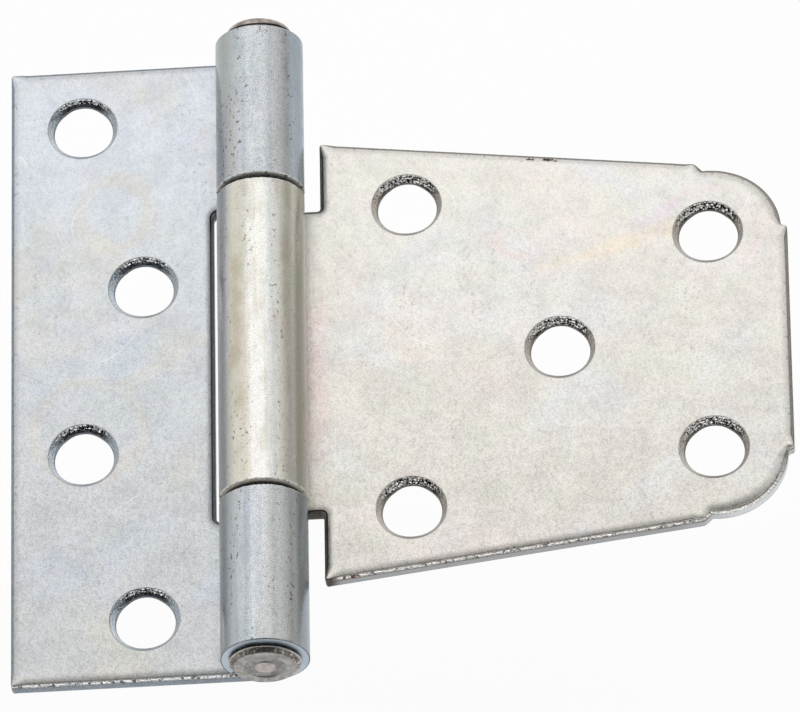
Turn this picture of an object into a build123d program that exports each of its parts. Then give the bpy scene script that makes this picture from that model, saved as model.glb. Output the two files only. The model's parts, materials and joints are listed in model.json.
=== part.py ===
from build123d import *
import math
import os

# Sheet steel of both leaves
sheet = 2.0
edge_roll = 0.3
edge_break = 0.2
corner_round = 0.4

# Pin and rolled knuckles
pin_diameter = 7.1
pin_clearance = 0.05
leaf_height = 88.9
gate_knuckle_length = 43.9
knuckle_gap = 0.5
curl_tip_gap = 0.4

# Post leaf, measured from the pin axis
post_reach = 32.3
slot_clearance = 0.8
slot_corner_radius = 0.8
post_hole_free_edge = 9.2
post_hole_slot_edge = 9.0
post_hole_end_edge = 8.6

# Gate leaf, measured from the pin axis
gate_reach = 66.6
body_clearance = 1.65
body_height = 63.4
body_taper = 7.0
neck_corner_radius = 0.4
near_hole_inner_edge = 11.05
near_hole_taper_edge = 8.4
far_hole_edge = 10.05
corner_step = 0.75
step_lead = 1.0
step_root_shift = 0.5
step_round = 1.0
step_root_round = 0.25
ledge_rise = 0.7
ledge_fall = 0.25
ledge_round = 0.4
ledge_root_round = 0.5

# Punched screw holes: how far each mouth opens past the sheared land
hole_diameter = 7.5
hole_front_opening = 0.7
hole_back_opening = 0.4
hole_land_share = 0.25

# Pin heads
top_head_lip = 0.6
top_head_height = 2.0
top_head_round = 0.6
spun_neck_lip = 0.45
spun_rim_drop = 0.4
spun_head_lip = 0.95
spun_head_height = 1.1
spun_head_slope = 0.65
spun_rim_width = 1.25
spun_ring_depth = 0.16
spun_center_radius = 1.3

# Sizes that follow from the ones above
bore_radius = pin_diameter / 2 + pin_clearance
barrel_radius = bore_radius + sheet
half_height = leaf_height / 2
neck_half = gate_knuckle_length / 2
slot_half = neck_half + knuckle_gap
post_knuckle_length = half_height - slot_half
curl_tip_drop = bore_radius - curl_tip_gap
curl_turn = 270 + math.degrees(math.asin(curl_tip_drop / barrel_radius))
slot_wall = barrel_radius + slot_clearance

body_start = barrel_radius + body_clearance
taper_slope = math.tan(math.radians(body_taper))
far_x = gate_reach - far_hole_edge
far_edge_y = body_height / 2 - taper_slope * (far_x - body_start)
far_y = far_edge_y - far_hole_edge
corner_radius = far_hole_edge - corner_step
step_root_turn = math.degrees(math.asin(step_root_shift / corner_radius))
ledge_root_turn = math.degrees(math.asin(ledge_rise / corner_radius))
step_root = (far_x - step_root_shift, far_y + math.sqrt(corner_radius**2 - step_root_shift**2))
step_top_x = step_root[0] - step_lead
step_top = (step_top_x, body_height / 2 - taper_slope * (step_top_x - body_start))
ledge_root = (far_x + math.sqrt(corner_radius**2 - ledge_rise**2), far_y + ledge_rise)
ledge_end = (gate_reach, ledge_root[1] - ledge_fall)

near_x = body_start + near_hole_inner_edge
near_y = body_height / 2 - taper_slope * near_hole_inner_edge - near_hole_taper_edge
middle_x = (near_x + far_x) / 2
gate_holes = [(near_x, near_y), (near_x, -near_y), (middle_x, 0), (far_x, far_y), (far_x, -far_y)]

outer_x = post_hole_free_edge - post_reach
inner_x = -slot_wall - post_hole_slot_edge
post_hole_pitch = (leaf_height - 2 * post_hole_end_edge) / 3
post_holes = [
    (outer_x, 1.5 * post_hole_pitch),
    (inner_x, 0.5 * post_hole_pitch),
    (outer_x, -0.5 * post_hole_pitch),
    (inner_x, -1.5 * post_hole_pitch),
]

hole_radius = hole_diameter / 2
hole_land = hole_land_share * sheet
hole_mouth_depth = (sheet - hole_land) / 2

top_head_radius = bore_radius + top_head_lip
spun_neck_radius = bore_radius + spun_neck_lip
spun_head_radius = bore_radius + spun_head_lip
spun_flat_radius = spun_head_radius - spun_head_slope
spun_ring_radius = spun_flat_radius - spun_rim_width

on_base = (Align.CENTER, Align.CENTER, Align.MIN)


def corners_at(sketch, points):
    """The sketch's vertices that stand at these points and at their mirror images across the X axis."""
    wanted = [(x, side * y) for x, y in points for side in (1, -1)]
    return [v for v in sketch.vertices() if any(math.dist((v.X, v.Y), p) < 1e-4 for p in wanted)]


def knuckle_section(y, direction):
    """Section at this height of a rolled knuckle: the sheet wraps the bore from the leaf's root to its tip."""
    with BuildSketch(Plane.XZ.offset(-y)) as section:
        with BuildLine():
            outer = CenterArc((0, barrel_radius), barrel_radius, -90, direction * curl_turn)
            inner = CenterArc((0, barrel_radius), bore_radius, -90, direction * curl_turn)
            Line(outer @ 0, inner @ 0)
            Line(outer @ 1, inner @ 1)
        make_face()
    return section.sketch


def roll_front_edges(leaf):
    """Round the front rim of a flat leaf where the blanking die drew the sheet down."""
    rim = leaf.faces().sort_by(Axis.Z)[-1].edges()
    fillet([edge for edge in rim if abs(edge.center().X) > 1e-4], radius=edge_roll)


def break_back_edges(leaf):
    """Take the sharpness off the back rim and, since it runs on round the roll, off the knuckle ends."""
    rim = leaf.edges().filter_by_position(Axis.Z, -1e-4, 1e-4)
    chamfer([edge for edge in rim if abs(edge.center().X) > 1e-4], length=edge_break)


def punch_holes(centers):
    """Screw holes: a sheared land at mid sheet, broken open to a wider mouth on each face."""
    front_radius = hole_radius + hole_front_opening
    back_radius = hole_radius + hole_back_opening
    with Locations(*centers):
        Cone(back_radius, hole_radius, hole_mouth_depth, align=on_base, mode=Mode.SUBTRACT)
        Cylinder(hole_radius, sheet, align=on_base, mode=Mode.SUBTRACT)
    with Locations(*[(x, y, sheet - hole_mouth_depth) for x, y in centers]):
        Cone(hole_radius, front_radius, hole_mouth_depth, align=on_base, mode=Mode.SUBTRACT)


# Post leaf: a tall plate with a slot for the gate knuckle and a rolled knuckle at each end
with BuildPart() as post_leaf:
    with BuildSketch() as post_outline:
        with BuildLine():
            Polyline(
                (-post_reach, 0),
                (-post_reach, half_height),
                (0, half_height),
                (0, slot_half),
                (-slot_wall, slot_half),
                (-slot_wall, 0),
            )
            mirror(about=Plane.XZ)
        make_face()
        fillet(corners_at(post_outline, [(-post_reach, half_height)]), radius=corner_round)
        fillet(corners_at(post_outline, [(-slot_wall, slot_half)]), radius=slot_corner_radius)
    extrude(amount=sheet)
    roll_front_edges(post_leaf)
    for knuckle_top in (half_height, -slot_half):
        extrude(knuckle_section(knuckle_top, 1), amount=post_knuckle_length)
    break_back_edges(post_leaf)
    punch_holes(post_holes)

# Gate leaf: a tapering plate on a short neck, with one long rolled knuckle
with BuildPart() as gate_leaf:
    with BuildSketch() as gate_outline:
        with BuildLine():
            Polyline(
                (0, 0),
                (0, neck_half),
                (body_start, neck_half),
                (body_start, body_height / 2),
                step_top,
                step_root,
            )
            arc_turn = 90 + step_root_turn - ledge_root_turn
            CenterArc((far_x, far_y), corner_radius, ledge_root_turn, arc_turn)
            Polyline(ledge_root, ledge_end, (gate_reach, 0))
            mirror(about=Plane.XZ)
        make_face()
        fillet(corners_at(gate_outline, [(body_start, neck_half)]), radius=neck_corner_radius)
        fillet(corners_at(gate_outline, [(body_start, body_height / 2)]), radius=corner_round)
        fillet(corners_at(gate_outline, [step_top]), radius=step_round)
        fillet(corners_at(gate_outline, [step_root]), radius=step_root_round)
        fillet(corners_at(gate_outline, [ledge_end]), radius=ledge_round)
        fillet(corners_at(gate_outline, [ledge_root]), radius=ledge_root_round)
    extrude(amount=sheet)
    roll_front_edges(gate_leaf)
    extrude(knuckle_section(neck_half, -1), amount=gate_knuckle_length)
    break_back_edges(gate_leaf)
    punch_holes(gate_holes)

# Hinge pin: a round shank with a swelled, rounded top end and a spun-over head with a flared rim below
with BuildPart() as hinge_pin:
    with BuildSketch(Plane.XY.offset(barrel_radius)):
        with BuildLine():
            top = half_height + top_head_height
            bottom = -half_height - spun_head_height
            shoulder = top_head_radius - top_head_round
            Polyline((0, top), (shoulder, top))
            CenterArc((shoulder, top - top_head_round), top_head_round, 0, 90)
            Polyline(
                (top_head_radius, top - top_head_round),
                (top_head_radius, half_height),
                (pin_diameter / 2, half_height),
                (pin_diameter / 2, -half_height),
                (spun_neck_radius, -half_height),
                (spun_head_radius, -half_height - spun_rim_drop),
                (spun_flat_radius, bottom),
                (spun_ring_radius, bottom),
                (spun_ring_radius - spun_ring_depth, bottom + spun_ring_depth),
                (spun_center_radius + spun_ring_depth, bottom + spun_ring_depth),
                (spun_center_radius, bottom),
                (0, bottom),
                (0, top),
            )
        make_face()
    revolve(axis=Axis((0, 0, barrel_radius), (0, 1, 0)))

post_leaf.part.label = "post_leaf"
gate_leaf.part.label = "gate_leaf"
hinge_pin.part.label = "hinge_pin"

os.makedirs("parts", exist_ok=True)
export_step(post_leaf.part, "parts/post_leaf.step")
export_step(gate_leaf.part, "parts/gate_leaf.step")
export_step(hinge_pin.part, "parts/hinge_pin.step")

print(f"barrel diameter {2 * barrel_radius:.2f}, post knuckles {post_knuckle_length:.2f} long")
print(f"post holes {[(round(x, 3), round(y, 3)) for x, y in post_holes]}")
print(f"gate holes {[(round(x, 3), round(y, 3)) for x, y in gate_holes]}")
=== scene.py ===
# %% [markdown]
# # A gate hinge from its flat blanks
# The hinge has three pieces: a tall post leaf, a tapering gate leaf and the pin they turn on.
# Each leaf began as a flat blank of 2 mm sheet steel. A die sheared its outline and punched its screw holes,
# a second tool rolled the tabs along one side into knuckles, and then the leaf was zinc plated.
# The cells follow that order, so the marks of each step fall where the real ones do.
#
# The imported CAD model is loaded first. It fixes the reach of every piece, the holes and the joint.

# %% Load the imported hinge
import json
import math

import bpy
import numpy as np
from mathutils import Matrix, Vector
from mathutils.geometry import delaunay_2d_cdt


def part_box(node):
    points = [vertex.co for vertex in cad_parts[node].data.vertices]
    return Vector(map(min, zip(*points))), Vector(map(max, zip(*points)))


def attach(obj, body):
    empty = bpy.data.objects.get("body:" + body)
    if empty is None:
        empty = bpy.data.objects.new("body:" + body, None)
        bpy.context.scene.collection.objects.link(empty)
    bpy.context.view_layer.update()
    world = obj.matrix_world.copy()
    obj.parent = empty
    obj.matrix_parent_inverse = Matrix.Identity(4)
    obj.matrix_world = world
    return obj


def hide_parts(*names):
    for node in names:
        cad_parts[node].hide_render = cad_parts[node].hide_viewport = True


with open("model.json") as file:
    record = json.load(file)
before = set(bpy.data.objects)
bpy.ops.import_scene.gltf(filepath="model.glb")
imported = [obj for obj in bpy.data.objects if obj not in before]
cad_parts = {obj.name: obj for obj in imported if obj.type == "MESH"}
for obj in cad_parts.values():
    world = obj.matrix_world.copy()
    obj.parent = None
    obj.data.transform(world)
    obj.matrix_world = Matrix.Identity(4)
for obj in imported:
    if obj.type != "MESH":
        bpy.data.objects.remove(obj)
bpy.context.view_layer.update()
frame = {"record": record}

MM = 0.001

# %% Read the main sizes from the frame
post_low, post_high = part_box("post_leaf")
_, gate_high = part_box("gate_leaf")
half_height = post_high[1]
post_reach = -post_low[0]
gate_reach = gate_high[0]
barrel_radius = post_high[2] / 2
mounts = {mount["name"]: mount for mount in frame["record"]["mounts"]}


def hole_places(name):
    """Centres (x, y) of one mount's screw holes: a pair stands half its spacing above and below its place."""
    x, y, _ = mounts[name]["pos_m"]
    half = mounts[name]["dims"].get("spacing_y_mm", 0) * MM / 2
    return [(x, y + half), (x, y - half)] if half else [(x, y)]


post_holes = hole_places("post_outer_holes") + hole_places("post_inner_holes")
far_holes = hole_places("gate_far_holes")
gate_holes = hole_places("gate_near_holes") + hole_places("gate_middle_hole") + far_holes
hole_radius = mounts["gate_middle_hole"]["dims"]["r_mm"] * MM
print(f"post leaf reaches {post_reach / MM:.1f} mm, gate leaf {gate_reach / MM:.1f} mm")
print(f"barrel {2 * barrel_radius / MM:.1f} mm, {len(post_holes)} + {len(gate_holes)} holes")

# %% [markdown]
# ## The outline of a blank
# A blanking die has straight runs and small rounded corners. The outline could be traced with curves by hand,
# but the corners are all known, so it is worked out: each corner is turned by an arc that touches the two
# runs beside it. The path goes counter-clockwise, so its outward side is always on the right.
# Along the path, s runs from the free edge (negative) to the tip of the rolled tab (positive),
# and y runs along the pin.

# %% Walk round a blank
def turning(behind, ahead):
    """Angle from one direction to the next: the arctangent of their cross product over their dot product."""
    cross = behind[:, 0] * ahead[:, 1] - behind[:, 1] * ahead[:, 0]
    return np.arctan2(cross, np.sum(behind * ahead, axis=1))


def walk_round(corners, radii, run_step=0.22 * MM, arc_step=0.1 * MM, fewest=6):
    """Closed path through the corners: straight runs joined by arcs tangent to both neighbours.

    An arc of radius r that turns the path by an angle a starts r * tan(a / 2) before its corner.
    Returns the points, the outward normals and the radius of each outward-bulging arc (infinite elsewhere).
    """
    corners = np.array(corners)
    ahead = np.roll(corners, -1, axis=0) - corners
    ahead /= np.linalg.norm(ahead, axis=1)[:, None]
    behind = np.roll(ahead, 1, axis=0)
    turns = turning(behind, ahead)
    reach = np.array(radii) * np.tan(np.abs(turns) / 2)
    points, normals, bulges = [], [], []
    for i, (radius, turn) in enumerate(zip(radii, turns)):
        side = np.sign(turn)
        start = corners[i] - behind[i] * reach[i]
        center = start + side * radius * np.array([-behind[i, 1], behind[i, 0]])
        angle = np.linspace(0, turn, max(fewest, round(radius * abs(turn) / arc_step)) + 1)
        normal = np.column_stack([
            behind[i, 1] * np.cos(angle) + behind[i, 0] * np.sin(angle),
            behind[i, 1] * np.sin(angle) - behind[i, 0] * np.cos(angle),
        ])
        arc = center + side * radius * normal
        points.append(arc)
        normals.append(normal)
        bulges.append(np.full(len(arc), radius if side > 0 else np.inf))

        j = (i + 1) % len(corners)
        run_end = corners[j] - ahead[i] * reach[j]
        pieces = max(2, round(np.linalg.norm(run_end - arc[-1]) / run_step))
        share = np.linspace(0, 1, pieces + 1)[1:-1, None]
        run = arc[-1] * (1 - share) + run_end * share
        points.append(run)
        normals.append(np.repeat(normal[-1:], len(run), axis=0))
        bulges.append(np.full(len(run), np.inf))
    return np.concatenate(points), np.concatenate(normals), np.concatenate(bulges)


# %% Lay out the post leaf
sheet = 2.0 * MM
knuckle_gap = 0.5 * MM
slot_clearance = 0.8 * MM
neck_half = 21.95 * MM
slot_half = neck_half + knuckle_gap
slot_wall = barrel_radius + slot_clearance
curl_turn = math.radians(304.85)
curl_length = barrel_radius * curl_turn
slot_round = 0.8 * MM
tip_round = 0.3 * MM
corner_round = 0.4 * MM

post_side = [
    (-slot_wall, slot_half),
    (curl_length, slot_half),
    (curl_length, half_height),
    (-post_reach, half_height),
]
post_corners = post_side + [(s, -y) for s, y in reversed(post_side)]
post_rounds = [slot_round, tip_round, tip_round, corner_round]
post_radii = post_rounds + post_rounds[::-1]
print(f"tab rolled through {math.degrees(curl_turn):.0f} degrees takes {curl_length / MM:.1f} mm of sheet")

# %% Lay out the gate leaf
body_start = barrel_radius + 1.65 * MM
body_half = 31.7 * MM
taper_slope = math.tan(math.radians(7.0))
far_x, far_y = far_holes[0]
corner_step = 0.75 * MM
corner_arc = gate_reach - far_x - corner_step
step_lead, step_root_shift = 1.0 * MM, 0.5 * MM
ledge_rise, ledge_fall = 0.7 * MM, 0.25 * MM
arc_start = math.pi / 2 + math.asin(step_root_shift / corner_arc)
arc_end = math.asin(ledge_rise / corner_arc)


def round_far_hole(angle, radius):
    """Place (s, y) at this angle and distance from the upper far hole; s runs against x on this leaf."""
    return -far_x - radius * math.cos(angle), far_y + radius * math.sin(angle)


step_root = round_far_hole(arc_start, corner_arc)
step_top_s = step_root[0] + step_lead
step_top = step_top_s, body_half + taper_slope * (step_top_s + body_start)
arc_corner = round_far_hole((arc_start + arc_end) / 2, corner_arc / math.cos((arc_start - arc_end) / 2))
ledge_root = round_far_hole(arc_end, corner_arc)
gate_side = [
    (curl_length, neck_half), (-body_start, neck_half), (-body_start, body_half),
    step_top, step_root, arc_corner, ledge_root, (-gate_reach, ledge_root[1] - ledge_fall),
]
gate_corners = gate_side + [(s, -y) for s, y in reversed(gate_side)]

# The arc is drawn a little tighter than its circle, which leaves room for the small arcs at its two ends.
arc_round = corner_arc - 0.4 * MM
step_round, step_root_round = 1.0 * MM, 0.25 * MM
ledge_root_round, ledge_round = 0.5 * MM, 0.4 * MM
gate_rounds = [
    tip_round, corner_round, corner_round,
    step_round, step_root_round, arc_round, ledge_root_round, ledge_round,
]
gate_radii = gate_rounds + gate_rounds[::-1]
print(f"far corners are arcs of {corner_arc / MM:.2f} mm round their holes")

# %% [markdown]
# ## The sheared edge
# The die leaves four marks on an edge: a soft fall of the face, a slope of torn metal that sparkles,
# a smooth grey wall and a broken back corner. A bevel would give the fall but not the torn slope,
# so the section of the edge is drawn as a row of points and carried along the outline.
# Two of those points lie close together wherever a bend has to look crisp: they hold the smooth shading
# of the face beside it. At a tight corner the fall narrows to fit inside the corner's arc, and round
# the big corner arcs the sheet is drawn down further. On the rolled tabs the back corner is torn too.

# %% Section of the edge
# Points from the face down to the back: 8 of the fall, 3 of the lip, 4 of the torn slope, 3 of the wall
# and 4 of the back corner. The fall's points are shares of its width.
fall_width = 1.4 * MM
fall_drop = 0.4 * MM
fall = np.array([1.12, 1.0, 0.84, 0.69, 0.56, 0.44, 0.35, 0.27])
lip_inset = np.array([0.36, 0.33, 0.3]) * MM
lip_drop = np.array([0.25, 0.31, 0.36]) * MM
torn_inset = np.array([0.24, 0.17, 0.09, 0.02]) * MM
torn_height = np.array([1.62, 1.6, 1.58, 1.55]) * MM
wall_height = np.array([1.42, 0.8, 0.4]) * MM
back_height = np.array([0.15, 0.05, 0.0, 0.0]) * MM
edge_front = np.concatenate([fall * fall_width, lip_inset, torn_inset])
edge_height = np.concatenate([
    sheet - fall_drop * np.maximum(1 - fall, 0) ** 2,
    sheet - lip_drop, torn_height, wall_height, back_height])

# Insets of the wall and the back corner: on the flats, on the tabs, in the knuckle gaps and at the leaf's
# two ends.
back_inset = np.array([0.0, 0.0, 0.0, 0.03, 0.09, 0.18, 0.3]) * MM
tab_inset = np.array([0.0, 0.0, 0.01, 0.04, 0.07, 0.1, 0.22]) * MM
gap_inset = np.array([0.0, 0.1, 0.24, 0.29, 0.32, 0.4, 0.52]) * MM
foot_inset = np.array([0.0, 0.0, 0.0, 0.01, 0.04, 0.07, 0.2]) * MM

# How much of each mark a point carries.
edge_fall = np.concatenate([np.maximum(1 - fall, 0) / (1 - fall[-1]), np.ones(3), np.zeros(11)])
edge_lip = np.concatenate([np.zeros(7), [0.2, 0.5, 0.9], np.ones(5), np.zeros(7)])
edge_torn = np.concatenate([np.zeros(9), [0.2, 0.6, 1, 1, 1, 0.7], np.zeros(7)])
edge_wall = np.concatenate([np.zeros(11), [0.0, 0.0, 0.3, 0.8], np.ones(5), [0.3, 0.0]])
tab_torn = np.concatenate([np.zeros(17), [0.1, 0.8, 1, 0.6, 0]])
print(f"edge section of {len(edge_height)} points, a fall {fall_width / MM:.1f} mm wide")

# %% [markdown]
# ## The punched holes
# A punch leaves a mouth torn open at the front, a narrow sheared land at mid sheet and a smaller mouth
# behind. On its upper side the front mouth is torn into small bright stairs, and to the left and right it
# is a smooth, deeper taper. A boolean cone would be clean all round, so the hole gets a section of its own,
# carried round its circle and roughened where it is torn.

# %% Section of a hole
# Points from the face down: 4 of the lip, 6 of the front mouth's cone, 2 of the land and 3 of the back mouth.
mouth_front, mouth_back = 0.7 * MM, 0.4 * MM
mouth_depth = 0.75 * MM
lip_depth = 0.06 * MM
cone = np.linspace(0, 1, 7)[1:]
hole_inset = np.concatenate([
    np.array([0.22, 0.1, 0.03, -0.01]) * MM + mouth_front,
    (1 - cone) * mouth_front, [0, 0],
    np.array([-0.05, 0.06, 0.18]) * MM + mouth_back])
hole_height = np.concatenate([
    sheet - np.array([0, 0, 0.015, 0.06]) * MM,
    sheet - lip_depth - cone * (mouth_depth - lip_depth),
    np.array([1.0, 0.75, 0.05, 0, 0]) * MM])
land_depth = np.concatenate([np.full(10, 1.4), [1.5, 1.6, 1.95, 2.0, 2.0]]) * MM

# How much of each mark a point carries.
hole_torn = np.concatenate([[0, 0, 0, 0.5], np.ones(6), [0.9, 0.7, 0, 0, 0]])
hole_rough = np.concatenate([[0, 0, 0, 0.5], np.ones(5), [0.6, 0, 0, 0, 0, 0]])
hole_wall = np.concatenate([[0, 0, 0, 0.6], np.ones(9), [0, 0]])
print(f"hole section of {len(hole_height)} points, mouth {2 * (hole_radius + mouth_front) / MM:.1f} mm wide")


# %% Room for the fall at each corner
def room_at(points, bulges, width, ease=2.0 * MM, fit_share=0.8):
    """Share of the full width that fits at each point of the path.

    Four fifths of a bulging arc's radius fit inside it. Away from the arc the share grows with the distance
    along the path, by one for each length of ease.
    """
    steps = np.linalg.norm(np.roll(points, -1, axis=0) - points, axis=1)
    along = np.cumsum(steps) - steps
    apart = np.abs(along[:, None] - along[None, :])
    apart = np.minimum(apart, steps.sum() - apart)
    fits = np.minimum(fit_share * bulges / width, 1)
    return np.minimum(np.min(fits[None, :] + apart / ease, axis=1), 1)


# %% Carry a section along a path
def carried(points, normals, insets, heights):
    """A section along a closed path: row by row, the path moved inwards by its inset, at its height."""
    flat = points[None, :, :] - normals[None, :, :] * insets[:, :, None]
    return np.concatenate([flat, heights[:, :, None]], axis=2)


def strip_faces(first, rows, count):
    """Quads between the rows of a carried section, from vertex first on; the last column meets the first."""
    index = first + np.arange(rows * count).reshape(rows, count)
    beside = np.roll(index, -1, axis=1)
    return np.stack([index[:-1], index[1:], beside[1:], beside[:-1]], axis=-1).reshape(-1, 4)


# %% Shear the edge
# The marks are painted later: fall, torn metal, wall, hole, shade and the side that the light reaches.
mark_names = ("fall", "torn", "wall", "hole", "shade", "lit")
random = np.random.default_rng(7)
tab_ease = 2 * MM
foot_reach = 1 * MM
smallest_corner_arc = 5 * MM
arc_blend = 61
arc_growth = np.repeat([0.3, 0.9], [8, 7])
arc_draw = 0.8
torn_lift, torn_shift = 0.03 * MM, 0.024 * MM


def near_corner_arcs(bulges):
    """Share of big corner arcs among the points round each one: a running mean along the closed path."""
    big = np.isfinite(bulges) & (bulges > smallest_corner_arc)
    share = np.convolve(np.tile(big, 3), np.full(arc_blend, 1 / arc_blend), "same")
    return share[len(bulges):2 * len(bulges)]


def edge_strip(corners, radii):
    """The sheared edge of a blank: points (row, column, s y h) and marks (row, column, one per mark name).

    Where there is room the fall has its full width. Round a big corner arc it is wider and drawn down deeper.
    Torn rows are roughened by normal scatter, partly shared down a column so that it reads as ridges.
    """
    points, normals, bulges = walk_round(corners, radii)
    room = room_at(points, bulges, fall_width)
    back_room = room_at(points, bulges, gap_inset.max(), ease=1.0 * MM)
    on_arc = near_corner_arcs(bulges)
    on_tab = np.clip(points[:, 0] / tab_ease, 0, 1)
    at_foot = np.abs(points[:, 1]) > half_height - foot_reach
    in_gap = (normals[:, 1] < -0.5) & ~at_foot
    tab_back = np.where(in_gap, gap_inset[:, None], tab_inset[:, None])
    tab_back = np.where(at_foot, foot_inset[:, None], tab_back)
    back = back_inset[:, None] * (1 - on_tab) + tab_back * on_tab
    front = edge_front[:, None] * room * (1 + on_arc * arc_growth[:, None])
    insets = np.concatenate([front, back * back_room])

    sparkling = 0.25 + 0.75 * np.clip(-normals[:, 1], 0, 1)
    torn = edge_torn[:, None] * sparkling + tab_torn[:, None] * on_tab * ~at_foot
    rough = 0.8 * random.normal(size=(1, len(points))) + 0.45 * random.normal(size=insets.shape)
    rough = rough * torn * np.minimum(room + 0.2, 1)
    drawn = (1 + arc_draw * on_arc) * (0.5 + 0.5 * room ** 2)
    down = np.minimum(sheet - edge_height, lip_drop[-1])[:, None] * (drawn - 1)
    squeezed = edge_height[:, None] * (1 - down / torn_height[-1])
    lowered = edge_height[:, None] - down
    heights = np.where(edge_height[:, None] < torn_height[-1], squeezed, lowered)
    heights = heights + torn_lift * np.roll(rough, 5, axis=1)
    turned_away = 0.45 + 0.6 * normals[:, 1] + 0.4 * normals[:, 0] ** 4
    shade = edge_lip[:, None] * np.clip(turned_away, 0, 0.85)
    marks = (edge_fall[:, None], torn, edge_wall[:, None], 0, shade, on_arc)
    marks = np.stack(np.broadcast_arrays(*marks), axis=2)
    return carried(points, normals, insets + torn_shift * rough, heights), marks


# %% Punch a hole
# The torn stairs begin at this height up the mouth, as a share of its radius: on the post leaf and on the
# gate leaf, whose sides are 1 and -1.
torn_from = {1: 0.42, -1: 0.25}
torn_ease = 0.4
taper_deepening = 0.8
tear_scatter = 0.06 * MM
stair_height = 0.05 * MM
stair_scatter = 0.7


def hole_strip(center, side, count=168):
    """The wall of a punched hole, walked the other way round so that the steel stays on the left.

    On the upper side every second row is lifted and the others lowered, which tears the mouth into stairs.
    To the left and right the taper grows deeper by the square of the spoke's x.
    """
    turn = -np.linspace(0, 2 * math.pi, count, endpoint=False)
    spoke = np.column_stack([np.cos(turn), np.sin(turn)])
    rightward = side * spoke[:, 0]
    upper = np.clip((spoke[:, 1] - torn_from[side]) / torn_ease, 0, 1)
    torn = hole_torn[:, None] * np.maximum(upper, 0.1 + 0.15 * np.clip(rightward, 0, 1))
    scatter = tear_scatter * hole_rough[:, None] * upper * random.normal(size=torn.shape)
    insets = hole_inset[:, None] + scatter
    depth = sheet - hole_height[:, None]
    deeper = depth * (1 + taper_deepening * rightward ** 2)
    heights = sheet - np.minimum(deeper, np.maximum(depth, land_depth[:, None]))
    stairs = np.where(np.arange(len(depth)) % 2 == 0, stair_height, -stair_height) * hole_rough
    heights = heights + stairs[:, None] * upper * (1 + stair_scatter * random.normal(size=heights.shape))
    turned_away = np.clip(0.6 * rightward - 0.95 * spoke[:, 1], 0, 1)
    shade = hole_wall[:, None] * turned_away * (1 - upper)
    lit = np.clip(-rightward, 0, 1)
    marks = np.stack(np.broadcast_arrays(0, torn, 0, hole_wall[:, None], shade, lit), axis=2)
    return carried(np.array(center) + hole_radius * spoke, -spoke, insets, heights), marks


# %% [markdown]
# ## Rolling the tabs
# The tabs are rolled forwards over a mandrel the size of the pin, with the sheet's back on the outside.
# In numbers the roll is a change of coordinates: a point at s past the start of the curl, at height h above
# the back, goes to the angle s / R round the pin and to the radius R - h from its axis. Bending the finished
# blank this way keeps the edges, the torn metal and the plating's streaks running on round the knuckles,
# as they do on the real sheet. The gate leaf is the mirror image, so its x is turned round.

# %% Roll the sheet
def rolled(s, y, h, side):
    """Place of a blank's point: flat where s is below zero, wrapped round the pin's axis beyond it."""
    angle = np.maximum(s, 0) / barrel_radius
    x = np.minimum(s, 0) + (barrel_radius - h) * np.sin(angle)
    z = barrel_radius - (barrel_radius - h) * np.cos(angle)
    return np.column_stack([side * x, y, z])


def tab_points(tabs, margin, step):
    """Points spread over the rolled tabs, close together along s, so that the curl comes out round."""
    s = np.arange(0, curl_length - margin, step)
    grids = [np.meshgrid(s, np.linspace(low + margin, high - margin, 16)) for low, high in tabs]
    return np.concatenate([np.column_stack([g.ravel() for g in grid]) for grid in grids])


# %% Fill a face of the sheet
def filled(loops, inner, centers):
    """Triangles over the sheet's face: everything inside the first loop and outside the hole loops."""
    flat = np.concatenate(loops + [inner]) / MM
    starts = np.cumsum([0] + [len(loop) for loop in loops])
    rings = [np.arange(start, end) for start, end in zip(starts[:-1], starts[1:])]
    edges = np.concatenate([np.column_stack([ring, np.roll(ring, -1)]) for ring in rings])
    _, _, faces, origin, _, _ = delaunay_2d_cdt(flat.tolist(), edges.tolist(), [], 1, 1e-4)
    faces = np.array(origin)[:, 0][np.array(faces)]
    middle = flat[faces].mean(axis=1)
    rims = [np.linalg.norm(loop[0] - center) / MM for loop, center in zip(loops[1:], centers)]
    inside = [
        np.hypot(middle[:, 0] - x / MM, middle[:, 1] - y / MM) < rim
        for (x, y), rim in zip(centers, rims)]
    faces = faces[~np.any(inside, axis=0)]
    a, b, c = (flat[faces[:, k]] for k in range(3))
    clockwise = (b[:, 0] - a[:, 0]) * (c[:, 1] - a[:, 1]) < (b[:, 1] - a[:, 1]) * (c[:, 0] - a[:, 0])
    faces[clockwise] = faces[clockwise][:, ::-1]
    return faces


# %% Build a leaf
# Each face of the sheet: its row of the strips, its height, and the margin, step and turn of its filling.
sheet_faces = ((0, sheet, 2 * MM, 0.5 * MM, 1), (-1, 0.0, 0.8 * MM, 0.25 * MM, -1))
broken_from = 0.3
level_from, level_ease = 0.8, 0.12


def level_share(blank, quads):
    """How level each quad lies, from 0 to 1: the height of its unit normal, the cross of its diagonals."""
    across = np.cross(blank[quads[:, 2]] - blank[quads[:, 0]], blank[quads[:, 3]] - blank[quads[:, 1]])
    level = np.abs(across[:, 2]) / np.linalg.norm(across, axis=1)
    return np.clip((level - level_from) / level_ease, 0, 1)


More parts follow.
